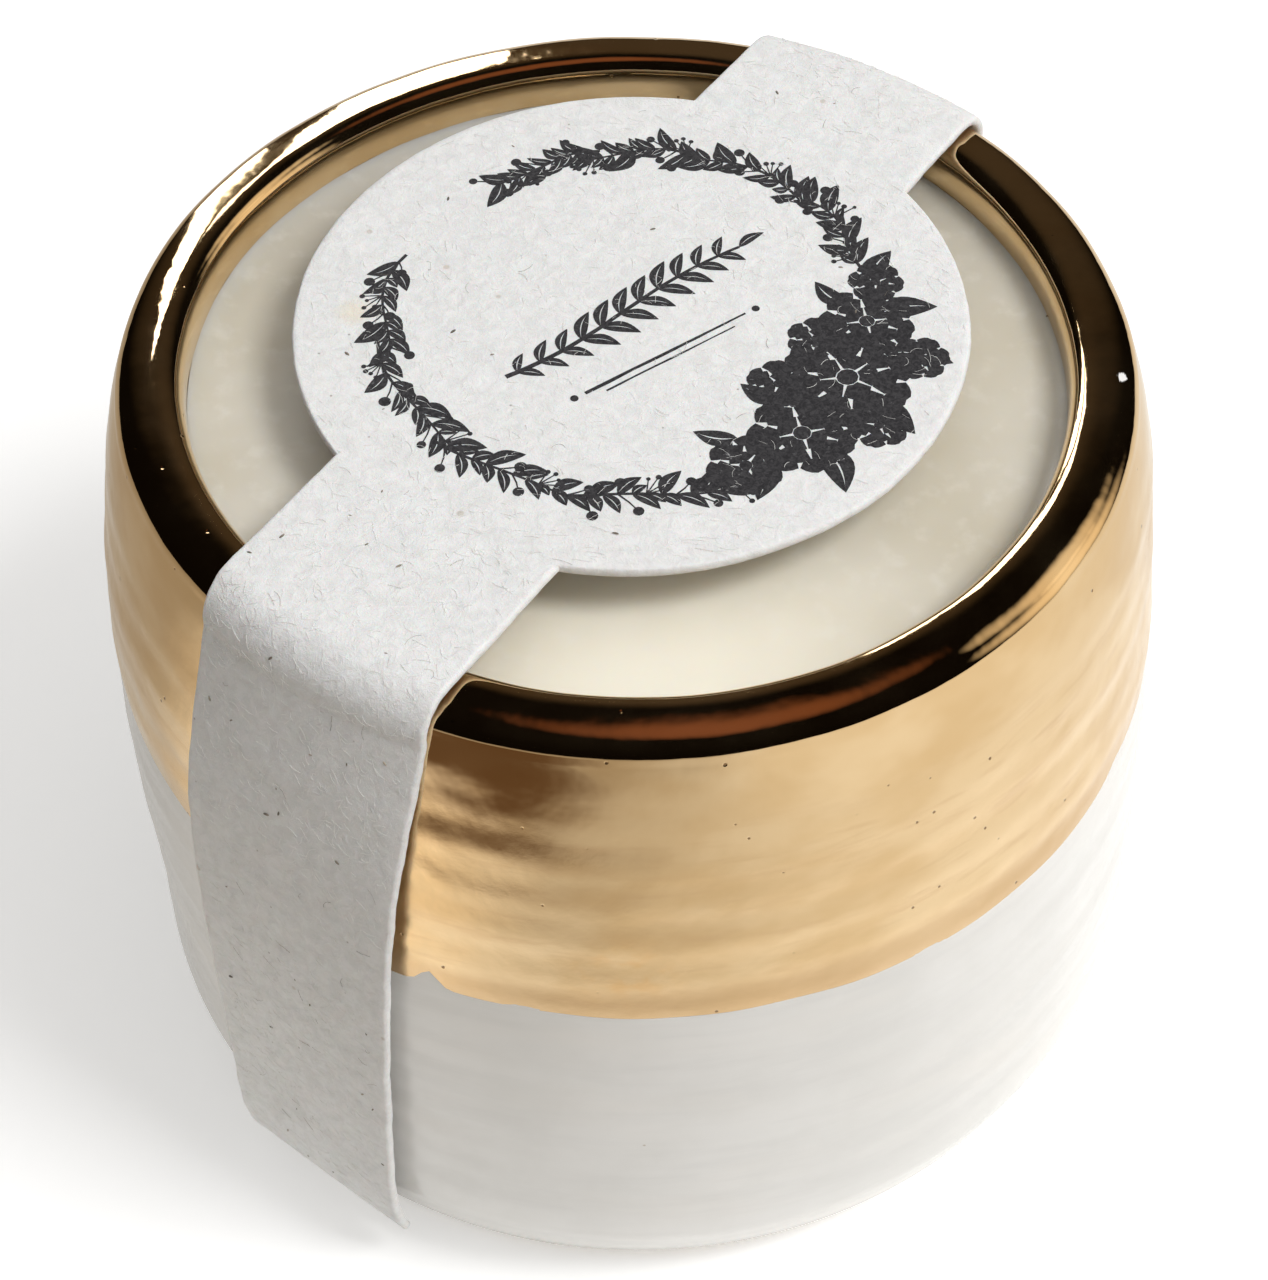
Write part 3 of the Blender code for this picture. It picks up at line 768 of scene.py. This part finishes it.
def sheet_skin(name, middle, material, seed):
    """A closed sheet of paper round its middle surface, with soft cut edges and felted faces."""
    normals = upward_normals(middle)
    half = PAPER_THICKNESS / 2
    felt = felt_relief(middle)
    top = middle + normals * (half + felt)[..., None]
    bottom = middle - normals * (half + 0.4 * felt)[..., None]
    edges = []
    for column, inner in ((-1, -2), (0, 1)):
        sideways = middle[:, column] - middle[:, inner]
        sideways /= np.linalg.norm(sideways, axis=-1, keepdims=True)
        soft = 0.015 * MM * lumps(middle[:, column], 1.1 * MM, seed)[:, None]
        rounding = []
        for angle in np.linspace(math.pi / 2, -math.pi / 2, 7)[1:-1]:
            rounding.append(middle[:, column] + normals[:, column] * half * math.sin(angle)
                            + sideways * (0.30 * MM + soft) * math.cos(angle))
        edges.append(np.stack(rounding, 1))
    loop = np.concatenate([top, edges[0], bottom[:, ::-1], edges[1][:, ::-1]], 1)
    right, left = edges[0] * 0 + middle[:, -1:], edges[1] * 0 + middle[:, :1]
    centre = np.concatenate([middle, right, middle[:, ::-1], left], 1)
    run = middle[-1] - middle[-2]
    run /= np.linalg.norm(run, axis=-1, keepdims=True)
    ends = np.concatenate([run, edges[0][-1] * 0 + run[-1:], run[::-1], edges[1][-1] * 0 + run[:1]])
    soft_end = loop[-1:] * 0.5 + centre[-1:] * 0.5 + ends[None] * 0.22 * MM
    last = centre[-1:] + ends[None] * 0.30 * MM
    return skin(name, np.concatenate([centre[:1], loop, soft_end, last]), material, sharp=50)


def strewn(name, grid, normals, count, material, seed, length=(0.4, 1.4), thick=0.013):
    """Fine fibres that lie on a sheet's grid of surface points, each bent at random."""
    dice = np.random.RandomState(seed)
    rows, columns = grid.shape[:2]
    tubes = []
    while len(tubes) < count:
        i, j = dice.uniform(3, rows - 4), dice.uniform(1, columns - 2)
        heading, bend = dice.uniform(0, 2 * math.pi), dice.normal(0, 0.5)
        steps = 6
        reach = dice.uniform(*length) * MM / steps
        path = []
        for k in range(steps + 1):
            a, b = int(np.clip(i, 0, rows - 2)), int(np.clip(j, 0, columns - 2))
            fi, fj = i - a, j - b
            corner = (grid[a, b] * (1 - fi) * (1 - fj) + grid[a + 1, b] * fi * (1 - fj)
                      + grid[a, b + 1] * (1 - fi) * fj + grid[a + 1, b + 1] * fi * fj)
            lift = 0.02 * MM + 0.05 * MM * math.sin(math.pi * k / steps) * (dice.rand() < 0.9)
            path.append(corner + normals[a, b] * lift)
            row_step = np.linalg.norm(grid[a + 1, b] - grid[a, b])
            column_step = np.linalg.norm(grid[a, b + 1] - grid[a, b])
            i += math.cos(heading) * reach / max(row_step, 1e-5)
            j += math.sin(heading) * reach / max(column_step, 1e-5)
            heading += bend / steps * 2
            if not (1 < i < rows - 2 and 0.5 < j < columns - 1.5):
                break
        if len(path) == steps + 1:
            tubes.append(tube_points(path, thick * MM * dice.uniform(0.7, 1.3), 4))
    return bundle(name, tubes, material)


def seeds_on(name, grid, normals, count, material, seed, size=(0.10, 0.32)):
    """Small flattened husks pressed into a sheet."""
    dice = np.random.RandomState(seed)
    rows, columns = grid.shape[:2]
    tubes = []
    for _ in range(count):
        a, b = dice.randint(4, rows - 4), dice.randint(3, columns - 3)
        run = grid[a + 1, b] - grid[a, b]
        run /= np.linalg.norm(run)
        side = np.cross(normals[a, b], run)
        angle, long = dice.uniform(0, math.pi), dice.uniform(*size) * MM
        direction = run * math.cos(angle) + side * math.sin(angle)
        spots = np.linspace(-1, 1, 6)
        path = grid[a, b] + normals[a, b] * 0.01 * MM + direction * (spots * long)[:, None]
        tubes.append(tube_points(path, long * 0.38 * np.sqrt(1.02 - spots**2), 6))
    return bundle(name, tubes, material)


def dress_sheet(prefix, middle, seed, fibres, husks, ride):
    """Loose fibres and husks on a sheet's outer face. ride places each piece."""
    normals = upward_normals(middle)
    face = middle + normals * PAPER_THICKNESS / 2
    pale = fibre_look("pale_fibre", (0.92, 0.92, 0.90), (0.80, 0.79, 0.76))
    dark = fibre_look("husk", (0.42, 0.36, 0.29), (0.13, 0.11, 0.09))
    ride(strewn(prefix + "_fibres", face, normals, fibres, pale, seed))
    ride(strewn(prefix + "_dark_hairs", face, normals, fibres // 40, dark, seed + 1, (0.5, 1.6), 0.010))
    ride(seeds_on(prefix + "_husks", face, normals, husks, dark, seed + 2))


def label_join():
    """Where the rear strip leaves the label, as a distance along the strip."""
    return LABEL_SHIFT + math.sqrt(LABEL_RADIUS**2 - STRIP_HALF_WIDTH**2) + 1.2 * MM


def make_front_sheet(material):
    """The label, the strip over the near rim and the leg that has come unstuck."""
    flat_start = -label_join()
    path = paper_path(-1, flat_start)
    reach = path[0]
    widths = half_widths(-reach * (path[2] == 0) - (path[2] > 0) * (45 * MM + 60 * MM * path[2]), 31)
    widths[1] -= 3.2 * MM * smooth(path[2], 0.05, 0.9)
    middle = paper_middle(-1, path, across_grid(*widths, 124), FRONT_SLANT, FRONT_TWIST)
    sheet = sheet_skin("label_sheet", middle, material, 43)

    def bend(piece):
        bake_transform(piece)
        return piece

    bend(sheet)
    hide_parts("band_top", "band_front_leg")
    dress_sheet("label_sheet", middle, 51, 2400, 40, bend)


def make_rear_sheet(material):
    """The rear strip and the leg that stays glued to the wall."""
    path = paper_path(1, label_join(), 120)
    widths = half_widths(120 * MM + path[0] * 0.4 + path[1], 71)
    fitted = smooth(path[0], label_join(), label_join() + 3 * MM)
    start_widths = half_widths(np.array([label_join()]), 31)
    left = widths[0] * fitted + start_widths[0] * (1 - fitted)
    right = widths[1] * fitted + start_widths[1] * (1 - fitted)
    middle = paper_middle(1, path, across_grid(left, right, 60), 0, 0)
    sheet = sheet_skin("rear_sheet", middle, material, 44)

    def bend(piece):
        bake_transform(piece)
        return piece

    bend(sheet)
    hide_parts("band_rear_leg")
    dress_sheet("rear_sheet", middle, 81, 900, 18, bend)


# Print on the label

class Print:
    """Flat ink shapes on the label, each a thin closed solid, placed in mm from the label's centre."""

    def __init__(self):
        self.vertices = []
        self.faces = []

    def shape(self, outline, lift=0.040):
        """A filled outline that follows the paper's relief."""
        points = np.array(outline, float)
        start, count = len(self.vertices), len(points)
        flat = np.concatenate([LABEL_CENTRE[:2] + points * MM, np.full((count, 1), PAPER_HEIGHT)], 1)
        face = flat + UP * (felt_relief(flat) + PAPER_THICKNESS / 2)[:, None]
        for layer in (lift * MM, -0.05 * MM):
            self.vertices.extend((face + UP * layer).tolist())
        self.faces.append(tuple(range(start, start + count)))
        self.faces.append(tuple(range(start + 2 * count - 1, start + count - 1, -1)))
        for i in range(count):
            j = (i + 1) % count
            self.faces.append((start + i, start + count + i, start + count + j, start + j))

    def stem(self, points, width):
        """A line of even width that narrows to its end."""
        points = np.array(points, float)
        run = np.gradient(points, axis=0)
        run /= np.linalg.norm(run, axis=1, keepdims=True)
        reach = width / 2 * np.linspace(1, 0.55, len(points))
        side = np.stack([-run[:, 1], run[:, 0]], 1) * reach[:, None]
        self.shape(np.concatenate([points + side, (points - side)[::-1]]))

    def leaf(self, x, y, heading, length, width, vein=0.10):
        """A pointed leaf from (x, y), as two half blades either side of a bare midrib."""
        along = np.array((math.cos(heading), math.sin(heading)))
        side = np.array((-along[1], along[0]))
        t = np.linspace(0, 1, 11)
        bulge = np.sin(math.pi * t**0.85) ** 0.9
        bow = 0.10 * length * np.sin(math.pi * t)
        for sign in (-1, 1):
            inner = vein / 2 * np.sin(math.pi * np.clip(t * 1.08, 0, 1))
            outer = np.maximum(width / 2 * bulge, inner)
            spine = np.array((x, y)) + along * (t * length)[:, None] + side * bow[:, None]
            near_rib = spine[:-1] + side * (sign * inner[:-1])[:, None]
            far_rib = spine + side * (sign * outer)[:, None]
            self.shape(np.concatenate([near_rib, far_rib[:0:-1]]))

    def dot(self, x, y, radius, sides=12):
        turn = full_turn(sides)
        self.shape(np.stack([x + radius * np.cos(turn), y + radius * np.sin(turn)], 1))

    def petal(self, x, y, heading, inner, outer, spread):
        """One petal of a ring, between two radii, with a rounded and slightly notched end."""
        turn = np.linspace(-1, 1, 9)
        reach = outer * (0.80 + 0.20 * np.cos(turn * 1.35) - 0.05 * np.exp(-(turn / 0.18) ** 2))
        angles = np.concatenate([turn, (0.8, 0, -0.8)]) * spread + heading
        reach = np.concatenate([reach, (inner, inner, inner)])
        self.shape(np.stack([x + reach * np.cos(angles), y + reach * np.sin(angles)], 1))

    def blossom(self, x, y, radius, petals, turn):
        """Three rings of petals round a centre, with hairline gaps between them."""
        self.dot(x, y, radius * 0.17)
        rings = ((0.19, 0.50, petals - 3, 0.5), (0.44, 0.80, petals - 1, 0.0),
                 (0.70, 1.08, petals, 0.4))
        for inner, outer, count, skew in rings:
            step = 2 * math.pi / count
            for k in range(count):
                heading = turn + (k + skew) * step
                self.petal(x, y, heading, inner * radius, outer * radius, step / 2 * 0.96)

    def umbel(self, x, y, heading, dice):
        """Baby's breath: a few fine stalks that end in dots."""
        for spread in (-0.75, -0.35, 0.0, 0.4, 0.8):
            reach = dice.uniform(1.3, 2.0)
            tip = (x + reach * math.cos(heading + spread), y + reach * math.sin(heading + spread))
            self.stem([(x, y), ((x + tip[0]) / 2, (y + tip[1]) / 2), tip], 0.12)
            self.dot(*tip, dice.uniform(0.16, 0.24), 8)

    def piece(self, name, material):
        mesh = bpy.data.meshes.new(name)
        mesh.from_pydata(self.vertices, [], self.faces)
        piece = new_piece(name, mesh, material)
        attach(piece, "band")
        return piece


def ring_point(angle, radius):
    return radius * math.cos(angle), radius * math.sin(angle)


def draw_sprays(ink, dice):
    """Leafy sprays end to end round the ring, open at the upper left."""
    radius = 19.3
    sprays = [(156, 188), (186, 222), (220, 258), (256, 292), (14, 40), (38, 72), (70, 98), (96, 122)]
    for number, (first, last) in enumerate(sprays):
        angles = np.radians(np.linspace(first, last, 12))
        waver = radius + 0.5 * np.sin(np.linspace(0, 5, 12) + number)
        ink.stem([ring_point(a, r) for a, r in zip(angles, waver)], 0.26)
        for k, (angle, reach) in enumerate(zip(angles[1:], waver[1:])):
            tangent = angle + math.pi / 2
            base = ring_point(angle, reach)
            for side in (-1, 1):
                kind = (number * 3 + k + (side > 0)) % 5
                heading = tangent + side * dice.uniform(0.5, 0.95)
                if kind in (0, 2):
                    length = dice.uniform(2.0, 3.3)
                    ink.leaf(*base, heading, length, length * dice.uniform(0.34, 0.48))
                elif kind == 3:
                    ink.leaf(*base, heading, dice.uniform(1.3, 2.0), 0.75)
                elif kind == 1:
                    out = dice.uniform(1.3, 2.4)
                    tip = (base[0] + out * math.cos(heading), base[1] + out * math.sin(heading))
                    middle = ((base[0] + tip[0]) / 2 + 0.1, (base[1] + tip[1]) / 2)
                    ink.stem([base, middle, tip], 0.14)
                    ink.dot(*tip, dice.uniform(0.34, 0.50))
                elif k % 3 == 1:
                    ink.umbel(*base, heading, dice)
                else:
                    ink.leaf(*base, heading, 1.9, 1.0)


def draw_cluster(ink, dice):
    """A bank of blossoms at the lower right, backed by pointed leaves."""
    leaves = ((-2, 19, 0.15, 5.0), (-14, 20, -0.25, 5.4), (-30, 20, -0.75, 5.2), (-46, 20, -1.25, 5.2),
              (-58, 18, -1.7, 4.6), (-66, 17.5, -2.4, 4.2), (8, 19, 1.1, 4.4), (2, 17, 2.3, 3.6),
              (-40, 15, 2.6, 3.8), (-60, 15.5, 2.9, 3.4))
    for angle, reach, heading, length in leaves:
        ink.leaf(*ring_point(math.radians(angle), reach), heading, length, length * 0.46, 0.16)
    blooms = ((-24, 18.0, 4.9, 8), (-46, 18.2, 4.0, 7), (-4, 18.4, 3.6, 7), (-63, 18.2, 2.9, 6),
              (-12, 14.6, 2.2, 6), (-35, 13.6, 2.4, 6), (9, 19.6, 2.1, 6), (-34, 22.3, 2.3, 6),
              (-14, 22.8, 2.2, 6))
    for angle, reach, radius, petals in blooms:
        ink.blossom(*ring_point(math.radians(angle), reach), radius, petals, dice.uniform(0, 1))


def draw_centre(ink, dice):
    """A small sprig above a fine double rule, in the direction of the strip."""
    lean = math.radians(33)
    along = np.array((math.cos(lean), math.sin(lean)))
    side = np.array((-along[1], along[0]))
    t = np.linspace(-11.5, 11.5, 24)
    line = along * t[:, None] + side * (0.9 * np.sin(t / 5.2))[:, None] + side * 0.8
    ink.stem(line, 0.42)
    for k in range(1, 23, 2):
        for sign in (-1, 1):
            length = 1.8 + 1.4 * math.sin(math.pi * k / 23) + dice.uniform(-0.2, 0.2)
            ink.leaf(*line[k], lean + sign * 0.80, length, length * 0.36)
    ink.leaf(*line[-1], lean + 0.1, 2.6, 0.9)
    for offset, reach, width in ((-4.9, 7.5, 0.30), (-5.6, 6.0, 0.16)):
        ends = np.linspace(-reach, reach, 5)
        ink.stem(along * ends[:, None] + side * offset, width)
    ink.dot(*(along * 8.5 - side * 4.9), 0.32)
    ink.dot(*(along * -8.5 - side * 4.9), 0.32)


def make_print():
    material = ink_look()
    dice = random.Random(12)
    wreath, cluster, centre = Print(), Print(), Print()
    draw_sprays(wreath, dice)
    draw_cluster(cluster, dice)
    draw_centre(centre, dice)
    wreath.piece("wreath_sprays", material)
    cluster.piece("wreath_blossoms", material)
    centre.piece("centre_sprig", material)


# Studio

def skyward(azimuth, elevation):
    """Unit vector towards a direction of the sky, in degrees."""
    a, e = math.radians(azimuth), math.radians(elevation)
    return Vector((math.cos(e) * math.cos(a), math.cos(e) * math.sin(a), math.sin(e)))


def make_floor():
    size = 4.0
    mesh = bpy.data.meshes.new("floor")
    corners = [(-size, -size, 0), (size, -size, 0), (size, size, 0), (-size, size, 0)]
    mesh.from_pydata(corners, [], [(0, 1, 2, 3)])
    look = Look("studio_floor", 0.9, Specular_IOR_Level=0.0)
    tint = look.mix(look.patches(200, 2, 0.3, 0.7), (0.93, 0.93, 0.93), (0.95, 0.95, 0.95))
    look.feed("Base Color", tint)
    look.set("Emission Color", (1, 1, 1, 1))
    look.set("Emission Strength", 0.30)
    mesh.materials.append(look.material)
    floor = add_object("floor", mesh)
    floor.visible_diffuse = False
    floor.visible_glossy = False
    floor.visible_shadow = False


def make_bounce_ground():
    """The ground that only reflections and bounced light see: white near the vessel, dimmer away.

    It is darker towards the left, and a brown patch in front on the left darkens the lustre there:
    painted shade.
    It glows faintly near the vessel and brightly in a patch that fills the leg's shade: painted light.
    """
    turn, depth = full_turn(96), -1 * MM
    mesh = bpy.data.meshes.new("bounce_ground")
    points = [(math.cos(a), math.sin(a), depth) for a in turn]
    mesh.from_pydata(points, [], [tuple(range(len(points)))])
    look = Look("bounce_ground", 0.9, Specular_IOR_Level=0.0)
    # Painted shade: the ground is darker towards the left, with a brown patch in front on the left.
    rightward = look.maths("ADD", look.axis("X"), look.maths("MULTIPLY", look.axis("Y"), 0.25))
    tint = look.mix(look.spread(rightward, -110 * MM, 70 * MM), (0.50, 0.45, 0.385), (0.90, 0.88, 0.84))
    patch = look.blob((-137 * MM, -188 * MM, depth), 120 * MM, 0.45)
    tint = look.mix(patch, tint, (0.15, 0.09, 0.05))
    close = look.blob((0, 0, depth), 110 * MM, 0.5)
    look.feed("Base Color", look.mix(close, tint, (0.94, 0.94, 0.93)))
    # Painted light: the ground glows faintly near the vessel and brightly in the fill patch in front on
    # the left.
    painted_glow_near = look.mix(close, (0.0, 0.0, 0.0), (0.16, 0.158, 0.152))
    fill = look.blob((-105 * MM, -75 * MM, depth), 88 * MM, 0.8)
    look.feed("Emission Color", look.mix(fill, painted_glow_near, (0.98, 0.92, 0.82)))
    look.set("Emission Strength", 1.0)
    mesh.materials.append(look.material)
    ground = add_object("bounce_ground", mesh)
    ground.visible_camera = False
    ground.visible_shadow = False


def area_light(name, azimuth, elevation, distance, size, power, glossy=True, diffuse=True):
    """A soft rectangular light that looks at the vessel from a direction in degrees."""
    light = bpy.data.lights.new(name, "AREA")
    light.shape = "RECTANGLE"
    light.size, light.size_y = size
    light.energy = power
    lamp = add_object(name, light)
    towards = skyward(azimuth, elevation)
    lamp.location = Vector((0, 0, 50 * MM)) + towards * distance
    lamp.rotation_euler = towards.to_track_quat("Z", "Y").to_euler()
    lamp.visible_camera = False
    lamp.visible_glossy = glossy
    lamp.visible_diffuse = diffuse


def make_world():
    """White to the camera, a soft glow from the back right to matt surfaces, a dark room to mirrors."""
    world = bpy.data.worlds.new("studio")
    bpy.context.scene.world = world
    world.use_nodes = True
    tree = world.node_tree
    tree.nodes.clear()
    out = tree.nodes.new("ShaderNodeOutputWorld")
    path = tree.nodes.new("ShaderNodeLightPath")
    sky = tree.nodes.new("ShaderNodeTexCoord").outputs["Generated"]

    def background(colour, strength):
        node = tree.nodes.new("ShaderNodeBackground")
        node.inputs["Color"].default_value = (*colour, 1)
        if isinstance(strength, float):
            node.inputs["Strength"].default_value = strength
        else:
            tree.links.new(strength, node.inputs["Strength"])
        return node.outputs[0]

    def glow(azimuth, elevation, edge, dim, bright):
        """A strength that grows from dim to bright towards one direction of the sky."""
        facing = tree.nodes.new("ShaderNodeVectorMath")
        facing.operation = "DOT_PRODUCT"
        facing.inputs[1].default_value = skyward(azimuth, elevation)
        tree.links.new(sky, facing.inputs[0])
        ramp = tree.nodes.new("ShaderNodeMapRange")
        ramp.interpolation_type = "SMOOTHSTEP"
        for socket, value in zip(RAMP_SOCKETS, (edge, 1.0, dim, bright)):
            ramp.inputs[socket].default_value = value
        tree.links.new(facing.outputs["Value"], ramp.inputs["Value"])
        return ramp.outputs["Result"]

    def mixed(factor, first, second):
        node = tree.nodes.new("ShaderNodeMixShader")
        tree.links.new(factor, node.inputs[0])
        tree.links.new(first, node.inputs[1])
        tree.links.new(second, node.inputs[2])
        return node.outputs[0]

    def added(first, second):
        node = tree.nodes.new("ShaderNodeAddShader")
        tree.links.new(first, node.inputs[0])
        tree.links.new(second, node.inputs[1])
        return node.outputs[0]

    ambient = background((1.0, 0.985, 0.96), glow(0, 65, -0.1, 0.03, 0.80))
    room = background((1.0, 0.72, 0.45), glow(90, 20, 0.75, 0.004, 0.06))
    room = added(room, background((1.0, 0.86, 0.66), glow(2, 14, 0.90, 0.0, 1.1)))
    room = added(room, background((1.0, 0.86, 0.66), glow(15, 41, 0.95, 0.0, 0.9)))
    room = added(room, background((0.52, 0.19, 0.09), glow(10, 83, 0.93, 0.0, 0.40)))
    white = background((1, 1, 1), 1.0)
    seen = mixed(path.outputs["Is Glossy Ray"], ambient, room)
    tree.links.new(mixed(path.outputs["Is Camera Ray"], seen, white), out.inputs[0])


def make_lights():
    area_light("key_right", -25, 56, 0.75, (0.26, 0.26), 3.2, glossy=False)
    area_light("window_right_pane", 100.5, 21, 0.55, (0.105, 0.38), 0.50, diffuse=False)
    area_light("window_left_pane", 114.5, 21, 0.55, (0.070, 0.38), 0.33, diffuse=False)


def make_camera():
    """Looks down at the band from the front, tilted and rolled slightly like a hand-held camera."""
    elevation, distance, aim = math.radians(50.44), 278.13 * MM, 30.0 * MM
    tilt, roll = math.radians(-0.695), math.radians(-1.743)
    camera = add_object("camera", bpy.data.cameras.new("camera"))
    camera.data.lens = 89.74
    camera.data.sensor_width = 36.0
    camera.data.clip_start = 0.01
    camera.location = (0, -distance * math.cos(elevation), aim + distance * math.sin(elevation))
    camera.rotation_euler = (math.pi / 2 - elevation - tilt, 0, 0)
    camera.rotation_euler.rotate_axis("Z", roll)
    bpy.context.scene.camera = camera


def main():
    make_camera()
    make_world()
    make_lights()
    make_floor()
    make_bounce_ground()
    bpy.context.scene.view_settings.view_transform = "Standard"
    make_vessel()
    make_lustre()
    make_wax()
    make_wick()
    frame["nodes"]["wick_sustainer"].data.materials[0] = tin_look()
    frame["nodes"]["sustainer_pad"].data.materials[0] = pad_look()
    make_glue_blob("front_glue", "front_glue_spot", 1)
    make_glue_blob("rear_glue", "rear_glue_spot", 2)
    paper = paper_look()
    make_front_sheet(paper)
    make_rear_sheet(paper)
    make_print()


main()
